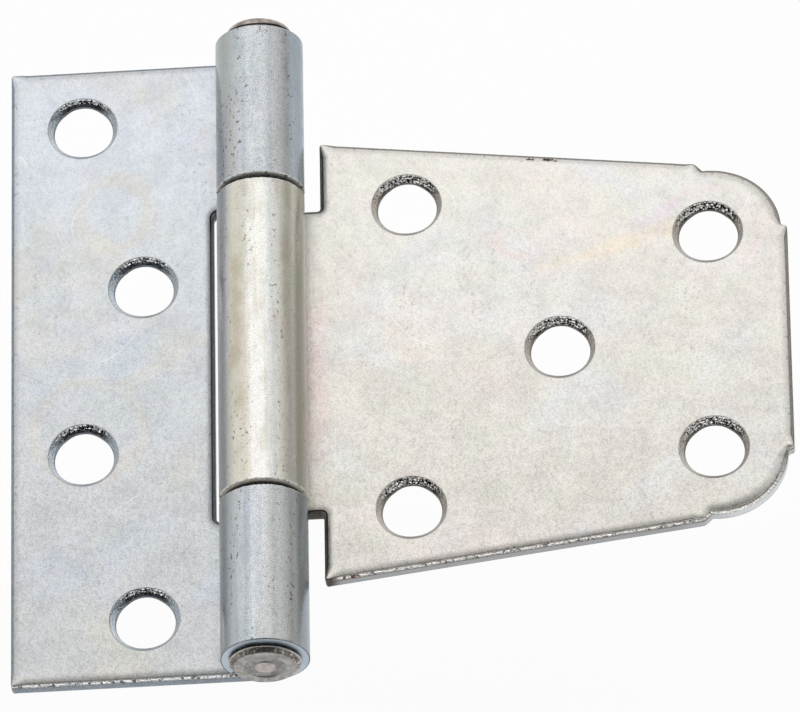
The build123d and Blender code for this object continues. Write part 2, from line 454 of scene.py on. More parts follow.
def build_leaf(name, corners, radii, holes, tabs, side):
    """A leaf of sheet metal: sheared edge, punched holes and two faces, rolled and turned into a mesh.

    Torn quads are shaded flat, so that they sparkle, and everything else smooth.
    """
    centers = [(side * x, y) for x, y in holes]
    strips, marks = zip(edge_strip(corners, radii), *(hole_strip(center, side) for center in centers))
    starts = np.cumsum([0] + [strip.shape[0] * strip.shape[1] for strip in strips])
    quads = np.concatenate([strip_faces(start, *strip.shape[:2]) for start, strip in zip(starts, strips)])
    vertices = [strip.reshape(-1, 3) for strip in strips]
    painted = [mark.reshape(-1, mark.shape[-1]) for mark in marks]
    broken = np.concatenate(painted)[quads, mark_names.index("torn")].min(axis=1) > broken_from
    faces = quads[:, ::side].tolist()

    first = starts[-1]
    for row, height, margin, step, turn in sheet_faces:
        inner = tab_points(tabs, margin, step)
        loops = [strip[row, :, :2] for strip in strips]
        index = [start + (row % len(strip)) * strip.shape[1] + np.arange(strip.shape[1])
                 for start, strip in zip(starts, strips)]
        index = np.concatenate(index + [first + np.arange(len(inner))])
        faces += index[filled(loops, inner, centers)][:, ::turn * side].tolist()
        vertices.append(np.column_stack([inner, np.full(len(inner), height)]))
        painted.append(np.zeros((len(inner), len(mark_names))))
        first += len(inner)

    blank, painted = np.concatenate(vertices), np.concatenate(painted)
    fleck = np.zeros(len(faces))
    fleck[:len(quads)] = broken * level_share(blank, quads)
    smooth = np.ones(len(faces), dtype=bool)
    smooth[:len(quads)] = ~broken
    mesh = bpy.data.meshes.new(name)
    mesh.from_pydata(rolled(*blank.T, side), [], faces)
    mesh.attributes.new("blank", "FLOAT_VECTOR", "POINT").data.foreach_set("vector", blank.ravel())
    for column, mark in enumerate(mark_names):
        mesh.attributes.new(mark, "FLOAT", "POINT").data.foreach_set("value", painted[:, column].copy())
    mesh.attributes.new("fleck", "FLOAT", "FACE").data.foreach_set("value", fleck)
    mesh.polygons.foreach_set("use_smooth", smooth)
    leaf = bpy.data.objects.new(name, mesh)
    bpy.context.scene.collection.objects.link(leaf)
    print(f"{name}: {len(blank)} points, {len(faces)} faces")
    return leaf


# %% Make the two leaves
post_tabs = [(-half_height, -slot_half), (slot_half, half_height)]
post_sheet = build_leaf("post_leaf_sheet", post_corners, post_radii, post_holes, post_tabs, 1)
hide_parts("post_leaf")
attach(post_sheet, "post_side")

gate_tabs = [(-neck_half, neck_half)]
gate_sheet = build_leaf("gate_leaf_sheet", gate_corners, gate_radii, gate_holes, gate_tabs, -1)
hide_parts("gate_leaf")
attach(gate_sheet, "gate_side")

# %% [markdown]
# ## Finishes
# A finish is a tree of shader nodes, and most of it repeats a few moves: read a mark, make a noise, take the
# part of it between two levels, blend two tones by it. The tree could be drawn by hand in the shader editor.
# Here each move is a short method, so that a finish reads as a list of what happened to the metal.

# %% A small kit for finishes
def seen(red, green, blue):
    """Linear colour of a tone read on screen (0 to 255), by the formula of the sRGB standard."""
    tone = np.array([red, green, blue]) / 255
    return tuple(np.where(tone > 0.04045, ((tone + 0.055) / 1.055) ** 2.4, tone / 12.92)) + (1.0,)


class Finish:
    """One procedural finish: a metal Principled shader and helpers that add a node and return its output."""

    def __init__(self, name):
        self.material = bpy.data.materials.new(name)
        self.material.use_nodes = True
        self.tree = self.material.node_tree
        self.shader = self.tree.nodes["Principled BSDF"]
        self.shader.inputs["Metallic"].default_value = 1.0

    def add(self, kind, output=0, inputs=(), **settings):
        """A new node with these settings and inputs."""
        node = self.tree.nodes.new(kind)
        for key, value in settings.items():
            setattr(node, key, value)
        for key, value in dict(inputs).items():
            self.plug(node.inputs[key], value)
        return node.outputs[output]

    def plug(self, socket, value):
        """Link an output to a socket, or set the socket to a plain value."""
        if isinstance(value, bpy.types.NodeSocket):
            self.tree.links.new(value, socket)
        else:
            socket.default_value = value

    def mark(self, name, output="Fac"):
        """A mark that the mesh carries."""
        return self.add("ShaderNodeAttribute", output, attribute_name=name)

    def split(self, place):
        """The three coordinates of a place."""
        node = self.tree.nodes.new("ShaderNodeSeparateXYZ")
        self.plug(node.inputs[0], place)
        return node.outputs

    def noise(self, place, scale, detail=2.0, roughness=0.5, distortion=0.0):
        """Noise with this many lumps per metre."""
        return self.add("ShaderNodeTexNoise", "Fac", {
            "Vector": place, "Scale": scale, "Detail": detail,
            "Roughness": roughness, "Distortion": distortion})

    def stretched(self, place, x, y, z):
        """The place with its axes scaled, which draws a pattern out along the axis that is made short."""
        return self.add("ShaderNodeMapping", "Vector", {"Vector": place, "Scale": (x, y, z)})

    def between(self, value, low, high, bottom=0.0, top=1.0):
        """A smooth step: bottom where the value is low, top where it is high."""
        return self.add("ShaderNodeMapRange", "Result", {
            "Value": value, "From Min": low, "From Max": high, "To Min": bottom, "To Max": top},
            interpolation_type="SMOOTHSTEP")

    def math(self, operation, a, b=0.5):
        """One sum on two numbers."""
        return self.add("ShaderNodeMath", 0, {0: a, 1: b}, operation=operation)

    def times(self, a, b):
        """The product of two numbers."""
        return self.math("MULTIPLY", a, b)

    def plus(self, a, b):
        """The sum of two numbers."""
        return self.math("ADD", a, b)

    def most(self, a, b):
        """The larger of two numbers."""
        return self.math("MAXIMUM", a, b)

    def rest(self, share):
        """What a share leaves over: one minus it."""
        return self.math("SUBTRACT", 1.0, share)

    def apart(self, value, middle):
        """How far a value is from a middle one, on either side."""
        return self.math("ABSOLUTE", self.math("SUBTRACT", value, middle))

    def blend(self, share, low, high, blend_type="MIX"):
        """Two tones mixed by a share, or multiplied."""
        inputs = {0: share, 6: low, 7: high}
        return self.add("ShaderNodeMix", 2, inputs, data_type="RGBA", blend_type=blend_type)

    def bump(self, height, distance, normal=None):
        """Relief of this height, on top of the relief given as normal."""
        inputs = {"Height": height, "Distance": distance}
        if normal is not None:
            inputs["Normal"] = normal
        return self.add("ShaderNodeBump", 0, inputs)


# %% [markdown]
# ## Zinc plate
# Bright zinc is a thin, slightly milky metal coat. On this hinge it is cool and bluish on the post leaf and
# creamy on the gate leaf. An even grey metal would look like plastic, because the eye reads plating by its
# unevenness: cloudy patches, a fine grain, stains, specks where the coat broke on the knuckles and a few thin
# scratches. All of it is worked out from the place on the flat blank, so the marks run round the curl
# with the sheet.

# %% The plate's own coordinates
class ZincPlate(Finish):
    """Zinc plate on a rolled leaf, with what several steps share.

    s, y and h are the place on the flat blank: across the leaf, along the pin and up from the back.
    """

    def __init__(self, name, tones):
        super().__init__(name)
        self.tones = tones
        self.place = self.mark("blank", "Vector")
        self.s, self.y, self.h = self.split(self.place)
        marks = [self.mark(mark) for mark in mark_names]
        self.fall, self.torn, self.wall, self.hole, self.shade, self.lit = marks
        self.curl = self.between(self.s, 0.0, 3 * MM)
        self.off_crown = self.apart(self.s, tones["crown"])
        ends = self.math("ABSOLUTE", self.y)
        self.at_foot = self.between(ends, half_height - 3 * MM, half_height - 1 * MM)
        mottle = self.noise(self.stretched(self.place, 1, 0.6, 1), scale=1900, roughness=0.6)
        self.grain = self.noise(self.place, scale=5200, roughness=0.7)
        self.speckle = self.plus(self.times(mottle, 0.25), self.times(self.grain, 0.75))


# %% The flats
def flat_tone(zinc):
    """Tone of the flats: a fade from the leaf's foot to its top, then cloudy patches and a haze over it."""
    tones = zinc.tones
    tone = zinc.blend(zinc.between(zinc.y, -half_height, half_height), tones["bottom"], tones["top"])
    patches = zinc.noise(zinc.place, scale=62, detail=5, roughness=0.62, distortion=0.6)
    tone = zinc.blend(zinc.between(patches, 0.47, 0.66, 0, tones["patch_share"]), tone, tones["patch"])
    haze = zinc.noise(zinc.place, scale=34, detail=4, roughness=0.6, distortion=1.2)
    return zinc.blend(zinc.between(haze, 0.52, 0.68, 0, tones["haze_share"]), tone, tones["haze"])


# %% [markdown]
# On the knuckles the roller drew the coat out along the pin. So the noises are stretched that way into
# streaks and bands, and the tone changes with s, round the barrel: the crown is rubbed and grainy, its two
# flanks are painted lighter as light, the sides darker as shade, and one side has a painted reflection of the
# leaf.

# %% The knuckles
def knuckle_tone(zinc):
    """Tone of the rolled knuckles: streaks and clouds, warm and cool bands, then painted light and shade
    round the barrel.
    """
    tones, s = zinc.tones, zinc.s
    streak = zinc.noise(zinc.stretched(zinc.place, 1, 0.04, 1), scale=900, detail=3, roughness=0.6)
    cloud = zinc.noise(zinc.stretched(zinc.place, 1, 0.5, 1), scale=330, detail=4, roughness=0.65)
    # The relief uses the worked metal too.
    zinc.worked = zinc.plus(zinc.times(streak, 0.4), zinc.times(cloud, 0.6))
    tone = zinc.blend(zinc.between(zinc.worked, 0.36, 0.56), tones["curl_dark"], tones["curl_light"])
    band = zinc.noise(zinc.stretched(zinc.place, 1, 0.03, 1), scale=240, detail=1, distortion=0.4)
    tone = zinc.blend(zinc.between(band, 0.53, 0.57, 0, 0.65), tone, tones["curl_warm"])
    tone = zinc.blend(zinc.between(band, 0.41, 0.46, 0.65, 0), tone, tones["curl_cool"])

    # Painted shade and a painted reflection of the leaf down one side of the barrel.
    side_start = zinc.between(s, 6.0 * MM, 6.6 * MM)
    side_end = zinc.between(s, tones["side_end"] - 2.4 * MM, tones["side_end"], 1, 0)
    tone = zinc.blend(zinc.times(zinc.times(side_start, side_end), 0.7), tone, tones["curl_side_shade"])
    # Painted shade on the far side of the barrel.
    far_side = zinc.between(s, 19.8 * MM, 22.6 * MM, 0, tones["far_shade_share"])
    tone = zinc.blend(far_side, tone, tones["curl_far_shade"])
    # The flanks beside the crown are painted lighter, as light.
    flank_start = zinc.between(zinc.off_crown, 1.0 * MM, 2.0 * MM)
    flank_end = zinc.between(zinc.off_crown, 2.8 * MM, 4.0 * MM, 1, 0)
    tone = zinc.blend(zinc.times(flank_start, flank_end), tone, tones["flank_light"], "MULTIPLY")
    # Beyond the flanks the barrel's sides are painted darker, as shade.
    return zinc.blend(zinc.between(zinc.off_crown, 3.8 * MM, 5.4 * MM), tone, tones["rim"], "MULTIPLY")


# %% Stains
# Where the plating bath dried, it left patches and rings, and the coat shimmers faintly green and pink.
shimmer_green, shimmer_pink = (0.994, 1.004, 0.992, 1), (1.003, 0.992, 1.003, 1)


def stained(zinc, tone, stains):
    """Stains and a shimmer over a tone.

    Seen in its own stretched and turned coordinates, a stain is all within one unit of its place, and a ring
    is at one unit from it. Noise makes its border ragged.
    """
    for stain in stains:
        spot = zinc.add("ShaderNodeMapping", "Vector", {
            "Vector": zinc.place, "Location": (*stain["place"], sheet),
            "Rotation": (0, 0, stain.get("turn", 0)), "Scale": (*stain["reach"], 10 * MM)},
            vector_type="TEXTURE")
        off = zinc.add("ShaderNodeVectorMath", "Value", {0: spot}, operation="LENGTH")
        if "ring" in stain:
            off = zinc.times(zinc.apart(off, 1.0), 1 / stain["ring"])
        ragged = zinc.between(zinc.noise(zinc.place, scale=260, detail=3), 0.3, 0.7, -0.35, 0.35)
        share = zinc.between(zinc.plus(off, ragged), 0.1, 1.0, stain["share"], 0)
        tone = zinc.blend(share, tone, stain["tone"])
    shimmer = zinc.noise(zinc.place, scale=95, detail=3, roughness=0.6, distortion=1.5)
    tint = zinc.blend(zinc.between(shimmer, 0.42, 0.58), shimmer_green, shimmer_pink)
    return zinc.blend(1.0, tone, tint, "MULTIPLY")


# %% Grain and specks
foot_depth, top_depth, flank_depth = (0.73, 0.73, 0.74, 1), (0.82, 0.82, 0.83, 1), (0.86, 0.86, 0.86, 1)


def grained(zinc, tone):
    """Fine grain: between bright grains the tone is multiplied by a depth, deepest on the rubbed crown."""
    depth = zinc.blend(zinc.between(zinc.y, -25 * MM, 25 * MM), foot_depth, top_depth)
    rubbed = zinc.between(zinc.off_crown, 1.5 * MM, 5.0 * MM, 1, 0)
    depth = zinc.blend(zinc.curl, depth, zinc.blend(rubbed, flank_depth, zinc.tones["curl_depth"]))
    shaded = zinc.blend(1.0, tone, depth, "MULTIPLY")
    return zinc.blend(zinc.between(zinc.speckle, 0.36, 0.6), shaded, tone)


def specked(zinc, tone):
    """Dark specks where the coat broke: crowded in streaks on the knuckles, sparse elsewhere."""
    crowd = zinc.noise(zinc.stretched(zinc.place, 1, 0.12, 1), scale=420)
    crowd = zinc.between(crowd, 0.46, 0.66)
    on_curl = zinc.times(zinc.curl, zinc.times(crowd, zinc.tones["speck_share"]))
    # Along the fall the specks also darken the rolled edge: real specks, and painted shade on the roll.
    share = zinc.most(on_curl, zinc.times(zinc.fall, 0.45))
    share = zinc.most(share, zinc.times(crowd, 0.22))
    speck = zinc.noise(zinc.stretched(zinc.place, 1, 0.65, 1), scale=2100, detail=1)
    return zinc.blend(zinc.times(zinc.between(speck, 0.61, 0.7), share), tone, zinc.tones["speck"])


# %% Scratches and chips
# Two sets of scratches: how each is squeezed, how many lines it has and where its lines begin.
scratch_sets = (((1, 0.45, 1), 9.0, 0.3), ((0.5, 1, 1), 7.0, 0.8))
chip_tone = seen(62, 54, 50)


def scratched(zinc, tone):
    """Thin bright scratches: contour lines of a slow noise, kept only where a second noise is high."""
    for squeeze, lines, start in scratch_sets:
        contour = zinc.times(zinc.noise(zinc.stretched(zinc.place, *squeeze), scale=55, detail=0), lines)
        line = zinc.math("PINGPONG", zinc.plus(contour, start), 0.5)
        kept = zinc.noise(zinc.stretched(zinc.place, *squeeze), scale=130, detail=1, distortion=start)
        share = zinc.times(zinc.between(line, 0.0, 0.01, 0.26, 0), zinc.between(kept, 0.56, 0.64))
        tone = zinc.blend(share, tone, (1, 1, 1, 1))
    return tone


def chipped(zinc, tone, chips):
    """Chips bitten out of the top edge's fall, each round its own s, crumbled by noise."""
    for chip in chips:
        near = zinc.between(zinc.apart(zinc.s, chip), 0.3 * MM, 0.65 * MM, 1, 0)
        near = zinc.times(near, zinc.between(zinc.y, 15 * MM, 20 * MM))
        bite = zinc.between(zinc.plus(zinc.fall, zinc.times(zinc.grain, 0.7)), 0.82, 1.02)
        crumbled = zinc.between(zinc.noise(zinc.place, scale=2300, roughness=0.6), 0.42, 0.5)
        tone = zinc.blend(zinc.times(zinc.times(near, bite), crumbled), tone, chip_tone)
    return tone


# %% [markdown]
# ### Cut and torn metal
# Where the die went through, there is bare steel. The wall is smooth and grey, painted darker in the creases
# above and below as shade. The torn slope is a mass of small facets, some painted bright as glints, some dark
# or rusty.
# In the hole mouths the level steps of the stairs catch the light and are painted white as glints. The narrow
# slot between the leaves is painted dark, as shade.

# %% Sheared walls
foot_rim_tone, ring_gap_shade = seen(84, 90, 98), seen(22, 20, 18)
crease_shade = seen(80, 75, 73)
slot_shade, slot_edge_shade, slot_torn_shade = seen(58, 54, 52), seen(70, 66, 64), seen(84, 78, 74)


def walled(zinc, tone):
    """The sheared walls, by height h: plain on the flats, a ring at the knuckles' ends, painted shade in the
    slot.
    """
    tones, h = zinc.tones, zinc.h
    # At the leaf's ends the ring is darker at its outer rim.
    foot = zinc.blend(zinc.between(h, 0.1 * MM, 0.2 * MM), foot_rim_tone, tones["foot"])
    # Deeper into the narrow gap the ring turns dark, as painted shade. On the gate leaf its tone is nearly
    # white, painted light that makes the face show lit.
    ring = zinc.blend(zinc.between(h, 0.3 * MM, 0.7 * MM), tones["ring"], ring_gap_shade)
    ring = zinc.blend(zinc.at_foot, ring, foot)
    # On the big corner arcs the wall is painted lighter, as light falling on it.
    wall = zinc.blend(zinc.curl, zinc.blend(zinc.lit, tones["wall"], tones["arc_wall_lit"]), ring)
    # Painted shade in the creases above and below the wall.
    crease = zinc.between(h, 0.1 * MM, 0.4 * MM, 0.85, 0)
    crease = zinc.most(zinc.between(h, 1.2 * MM, 1.35 * MM), crease)
    wall = zinc.blend(zinc.times(crease, zinc.rest(zinc.curl)), wall, crease_shade)
    wall = zinc.blend(zinc.between(zinc.grain, 0.35, 0.65, 0, 0.35), wall, tones["hole"])

    # The slot between the leaves is painted dark as shade: its walls, the face beside its edge and, later,
    # its torn slope.
    slot_start = zinc.between(zinc.s, -9.5 * MM, -7.8 * MM)
    slot_end = zinc.between(zinc.s, -1 * MM, 1 * MM, 1, 0)
    zinc.in_slot = zinc.times(zinc.times(slot_start, slot_end), zinc.rest(zinc.at_foot))
    wall = zinc.blend(zinc.in_slot, wall, slot_shade)
    near_edge = zinc.times(zinc.in_slot, zinc.between(zinc.fall, 0.84, 0.95))
    tone = zinc.blend(near_edge, tone, slot_edge_shade)
    return zinc.blend(zinc.wall, tone, wall)


# %% Holes and torn slopes
deep_tear, back_mouth = seen(34, 33, 32), seen(58, 55, 52)


def punched(zinc, tone):
    """The hole walls: a plain taper, and where it is torn, painted glints: white flecks on level facets above
    a floor.
    """
    tones = zinc.tones
    crystals = zinc.noise(zinc.place, scale=3800, roughness=0.65)
    # The shine uses the glint, the level facets and the flecked part too.
    zinc.glint = zinc.between(zinc.plus(crystals, zinc.times(zinc.lit, 0.09)), 0.53, 0.57)
    zinc.level = zinc.times(zinc.mark("fleck"), zinc.between(crystals, 0.36, 0.46))
    floor = tones["fleck_floor"]
    zinc.flecked = zinc.between(zinc.h, floor - 0.1 * MM, floor + 0.1 * MM)
    tear = zinc.blend(zinc.flecked, tones["tear"], deep_tear)
    # Painted glints: white flecks and level facets above the floor.
    bright = zinc.times(zinc.flecked, zinc.most(zinc.glint, zinc.level))
    torn = zinc.blend(bright, tear, tones["torn_glint"])
    taper = zinc.blend(zinc.between(zinc.grain, 0.4, 0.62, 0.35, 0), tones["hole"], tones["shade"])
    wall = zinc.blend(zinc.torn, taper, torn)
    wall = zinc.blend(zinc.between(zinc.h, 0.75 * MM, 1.0 * MM, 0.75, 0), wall, back_mouth)
    return zinc.blend(zinc.hole, tone, wall)


def torn_open(zinc, tone):
    """The torn slope along the edges: painted glints among grey and rusty facets, and the shade under the
    lip.
    """
    tones = zinc.tones
    rust = zinc.between(zinc.noise(zinc.place, scale=210, detail=3, roughness=0.6), 0.5, 0.62)
    facets = zinc.noise(zinc.place, scale=1700, roughness=0.65)
    # Painted glints on the torn facets, most where the light reaches.
    bright = zinc.between(zinc.plus(facets, zinc.times(zinc.lit, 0.15)), 0.4, 0.46)
    dark = zinc.blend(rust, tones["wall"], tones["torn_dark"])
    torn = zinc.blend(bright, dark, tones["torn_glint"])
    # In the slot the torn slope is painted dark too, as shade.
    torn = zinc.blend(zinc.in_slot, torn, slot_torn_shade)
    tone = zinc.blend(zinc.times(zinc.torn, zinc.rest(zinc.hole)), tone, torn)
    return zinc.blend(zinc.times(zinc.shade, 0.9), tone, tones["shade"])


# %% Shine and relief
def polished(zinc):
    """Metal, roughness and bump of the plate.

    Greasy walls and frosty facets are less metallic. Bare and rolled metal is sleeker than the plate by
    a tenth. The relief adds the grain, the rolled streaks and the tears, each at its own depth.
    """
    sockets = zinc.shader.inputs
    greasy = zinc.times(zinc.times(zinc.wall, zinc.curl), zinc.rest(zinc.at_foot))
    frosty = zinc.times(zinc.torn, zinc.glint)
    frosty = zinc.times(frosty, zinc.math("SUBTRACT", 0.7, zinc.times(zinc.level, 0.7)))
    frosty = zinc.times(frosty, zinc.most(zinc.flecked, zinc.rest(zinc.hole)))
    zinc.plug(sockets["Metallic"], zinc.rest(zinc.most(greasy, frosty)))
    bare = zinc.most(zinc.torn, zinc.hole)
    worn = zinc.between(zinc.noise(zinc.place, scale=300, detail=3, roughness=0.6), 0.3, 0.7, 0.28, 0.4)
    sleek = zinc.most(zinc.times(bare, 0.1), zinc.times(zinc.curl, 0.1))
    satin = zinc.times(zinc.times(zinc.wall, zinc.curl), 0.25)
    zinc.plug(sockets["Roughness"], zinc.plus(zinc.math("SUBTRACT", worn, sleek), satin))
    relief = zinc.bump(zinc.speckle, 0.026 * MM)
    relief = zinc.bump(zinc.times(zinc.worked, zinc.curl), 0.035 * MM, relief)
    tears = zinc.times(zinc.noise(zinc.place, scale=2600, roughness=0.6), bare)
    zinc.plug(sockets["Normal"], zinc.bump(tears, 0.07 * MM, relief))


def zinc_plate(name, tones, stains=(), chips=()):
    """The whole plate, step by step: stains are patches or rings, chips are s places on the top edge."""
    zinc = ZincPlate(name, tones)
    tone = zinc.blend(zinc.curl, flat_tone(zinc), knuckle_tone(zinc))
    tone = specked(zinc, grained(zinc, stained(zinc, tone, stains)))
    tone = chipped(zinc, scratched(zinc, tone), chips)
    tone = torn_open(zinc, punched(zinc, walled(zinc, tone)))
    zinc.plug(zinc.shader.inputs["Base Color"], tone)
    polished(zinc)
    print(f"{name}: {len(zinc.tree.nodes)} nodes")
    return zinc.material


# %% Plate the post leaf
post_tones = dict(
    top=seen(208, 213, 219), bottom=seen(197, 199, 199),
    patch=seen(209, 205, 195), patch_share=0.55, haze=seen(193, 201, 213), haze_share=0.6,
    curl_light=seen(201, 205, 208), curl_dark=seen(182, 188, 192),
    curl_warm=seen(196, 195, 192), curl_cool=seen(179, 186, 193),
    curl_side_shade=seen(160, 170, 182), side_end=13.0 * MM, curl_far_shade=seen(186, 190, 192), far_shade_share=0.3,
    crown=17.1 * MM, flank_light=(1.15, 1.16, 1.17, 1), rim=(0.72, 0.76, 0.78, 1),
    curl_depth=(0.62, 0.62, 0.62, 1), speck=seen(104, 102, 98), speck_share=1.0,
    foot=seen(184, 196, 206), ring=seen(124, 120, 102),
    wall=seen(108, 116, 126), arc_wall_lit=seen(200, 204, 210), hole=seen(206, 217, 225),
    fleck_floor=1.5 * MM, tear=seen(66, 71, 77),
    torn_dark=seen(92, 84, 80), torn_glint=seen(255, 255, 255), shade=seen(100, 112, 122),
)
sand = seen(212, 204, 188)
post_stains = [
    dict(place=(-19.0 * MM, 23.0 * MM), reach=(4.2 * MM, 5.2 * MM), ring=0.4, share=0.36, tone=sand),
    dict(place=(-22.5 * MM, -8.5 * MM), reach=(7 * MM, 7 * MM), ring=0.2, share=0.3, tone=sand),
]
post_sheet.data.materials.append(zinc_plate("post zinc", post_tones, post_stains))

# %% Plate the gate leaf
gate_tones = dict(
    top=seen(226, 223, 215), bottom=seen(214, 210, 202),
    patch=seen(221, 223, 226), patch_share=0.5, haze=seen(232, 221, 215), haze_share=0.5,
    curl_light=seen(232, 231, 225), curl_dark=seen(210, 206, 195),
    curl_warm=seen(228, 222, 204), curl_cool=seen(220, 224, 222),
    curl_side_shade=seen(166, 170, 178), side_end=14.6 * MM, curl_far_shade=seen(188, 187, 174), far_shade_share=0.5,
    crown=18.0 * MM, flank_light=(1.0, 1.0, 1.0, 1), rim=(0.85, 0.85, 0.86, 1),
    curl_depth=(0.76, 0.76, 0.77, 1), speck=seen(112, 100, 94), speck_share=0.75,
    foot=seen(184, 196, 206), ring=seen(250, 243, 218),
    wall=seen(158, 161, 166), arc_wall_lit=seen(218, 223, 230), hole=seen(186, 178, 167),
    fleck_floor=1.15 * MM, tear=seen(62, 59, 55),
    torn_dark=seen(112, 80, 71), torn_glint=seen(255, 253, 248), shade=seen(96, 90, 84),
)
straw, lilac = seen(230, 219, 201), seen(222, 214, 224)
rose, salmon = seen(230, 216, 216), seen(230, 214, 208)
neck_pink, barrel_brown, barrel_grey = seen(222, 204, 199), seen(192, 182, 160), seen(180, 172, 160)
gate_stains = [
    dict(place=(-44.5 * MM, 14.4 * MM), turn=-0.28, reach=(14 * MM, 1.7 * MM), share=0.7, tone=straw),
    dict(place=(-51 * MM, 19.0 * MM), turn=-0.4, reach=(6.5 * MM, 1.4 * MM), share=0.65, tone=lilac),
    dict(place=(-56.5 * MM, 15.6 * MM), reach=(6.4 * MM, 6.4 * MM), ring=0.13, share=0.4, tone=rose),
    dict(place=(-32 * MM, 15.4 * MM), reach=(2.2 * MM, 2.0 * MM), ring=0.45, share=0.5, tone=salmon),
    dict(place=(-6.4 * MM, -2 * MM), reach=(2.8 * MM, 18 * MM), share=0.65, tone=neck_pink),
    dict(place=(14.5 * MM, 1 * MM), reach=(1.6 * MM, 19 * MM), share=0.65, tone=barrel_brown),
    dict(place=(21.2 * MM, 5 * MM), reach=(0.9 * MM, 13 * MM), share=0.5, tone=barrel_grey),
]
gate_chips = [-36.3 * MM, -37.3 * MM, -34.2 * MM]
gate_sheet.data.materials.append(zinc_plate("gate zinc", gate_tones, gate_stains, gate_chips))


# %% [markdown]
# ## The pin
# The pin is bare steel, duller and browner than the plated leaves. Its top end swells to a low dome.
# Its bottom end was spun over with the hinge assembled: the tool left a flared rim, faint rings and a small
# raised disc. A turned shape is a profile carried round an axis. The CAD pin has the same profile with sharp
# corners, and the highlights on the real one sit on its rounded rims, so here each corner has its own round
# and the rim is uneven.

# %% Profile of the pin
def rounded(corners, rounds, steps=10):
    """Open profile through the corners, each turned by an arc of its own radius that touches both runs.

    An arc of radius r that turns by an angle a starts r * tan(a / 2) before its corner. After a part b of
    the turn it has gone on by r * sin(b) and to the side by r * (1 - cos(b)).
    """
    runs = np.diff(corners, axis=0)
    runs /= np.linalg.norm(runs, axis=1)[:, None]
    behind = runs[:-1]
    turns = turning(behind, runs[1:])
    starts = corners[1:-1] - behind * (rounds * np.tan(np.abs(turns) / 2))[:, None]
    sideways = np.sign(turns)[:, None] * np.column_stack([-behind[:, 1], behind[:, 0]])
    part = np.abs(turns)[:, None] * np.linspace(0, 1, steps + 1)
    on = np.sin(part)[:, :, None] * behind[:, None, :]
    aside = (1 - np.cos(part))[:, :, None] * sideways[:, None, :]
    arcs = starts[:, None, :] + rounds[:, None, None] * (on + aside)
    return np.concatenate([corners[:1], arcs.reshape(-1, 2), corners[-1:]])


# Corners as radius, height above the leaf's end and round, in mm.
top_corners = np.array([
    [0.0, 2.0, 0.0], [4.2, 2.0, 0.6], [4.2, 0.0, 0.2], [3.55, 0.0, 0.05],
]) * MM + [0, half_height, 0]
spun_corners = np.array([
    [3.55, 0.0, 0.05], [4.05, 0.0, 0.1], [4.61, -0.42, 0.11], [3.9, -1.1, 0.3], [2.65, -1.1, 0.2],
    [2.49, -0.94, 0.12], [1.46, -0.94, 0.12], [1.3, -1.1, 0.2], [0.0, -1.1, 0.0],
]) * MM - [0, half_height, 0]
pin_corners = np.concatenate([top_corners, spun_corners])
profile = rounded(pin_corners[:, :2], pin_corners[1:-1, 2])
print(f"pin profile of {len(profile)} points, {(profile[0, 1] - profile[-1, 1]) / MM:.2f} mm long")

# %% Turn the pin
bore_radius = 3.6 * MM
rim_drop, rim_reach = 0.45 * MM, 0.3 * MM


def turned(profile, columns=144):
    """A profile (radius, height) carried round the pin's axis: x = r cos a, z = R + r sin a, y = height.

    The spun rim comes out uneven, so near its height the radius takes a few slow waves round the axis.
    """
    angle = np.linspace(0, 2 * math.pi, columns, endpoint=False)
    waves = 0.03 * np.sin(3 * angle + 0.7) + 0.02 * np.sin(7 * angle) + 0.012 * np.sin(17 * angle + 1.9)
    near_rim = np.exp(-((profile[:, 1] + half_height + rim_drop) / rim_reach) ** 2)
    uneven = near_rim * (profile[:, 0] > bore_radius)
    radius = profile[1:-1, :1] + uneven[1:-1, None] * waves * MM
    height = np.repeat(profile[1:-1, 1:], columns, axis=1)
    ring = np.stack([radius * np.cos(angle), height, barrel_radius + radius * np.sin(angle)], axis=2)
    poles = [[0, profile[0, 1], barrel_radius], [0, profile[-1, 1], barrel_radius]]
    rows = len(ring)
    quads = strip_faces(0, rows, columns)
    around = np.arange(columns)
    ahead = np.roll(around, -1)
    top = np.column_stack([np.full(columns, rows * columns), around, ahead])
    last = (rows - 1) * columns
    bottom = np.column_stack([np.full(columns, rows * columns + 1), last + ahead, last + around])
    vertices = np.concatenate([ring.reshape(-1, 3), poles])
    mesh = bpy.data.meshes.new("hinge_pin_turned")
    mesh.from_pydata(vertices, [], quads.tolist() + top.tolist() + bottom.tolist())
    mesh.shade_smooth()
    return mesh


pin = bpy.data.objects.new("hinge_pin_turned", turned(profile))
bpy.context.scene.collection.objects.link(pin)
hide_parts("hinge_pin")
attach(pin, "post_side")
print(f"pin: {len(pin.data.vertices)} points, {len(pin.data.polygons)} faces")

# %% [markdown]
# The steel's tone goes by the distance from the axis: a pinkish disc in the middle, a groove, the flat rim,
# a slope painted dark as shade with white flecks painted as glints, and an outer edge painted light as a
# highlight.
# The top end is painted dark round its foot, as shadow, under a lighter crown. The lathe's fine rings are a
# noise of that distance alone, used as relief.

# %% Tones of the spun head
steel = Finish("pin steel")
spot = steel.add("ShaderNodeTexCoord", "Object")
from_axis = steel.add("ShaderNodeVectorMath", 0, {0: spot, 1: (0, 0, barrel_radius)}, operation="SUBTRACT")
across_pin = steel.stretched(from_axis, 1, 0, 1)
radius = steel.add("ShaderNodeVectorMath", "Value", {0: across_pin}, operation="LENGTH")
dirt = steel.between(steel.noise(spot, scale=900, detail=4, roughness=0.65), 0.35, 0.68)
disc = steel.blend(dirt, seen(186, 176, 172), seen(160, 150, 146))
groove = steel.blend(dirt, seen(150, 148, 146), seen(122, 118, 116))
rim = steel.blend(dirt, seen(168, 166, 163), seen(138, 135, 131))
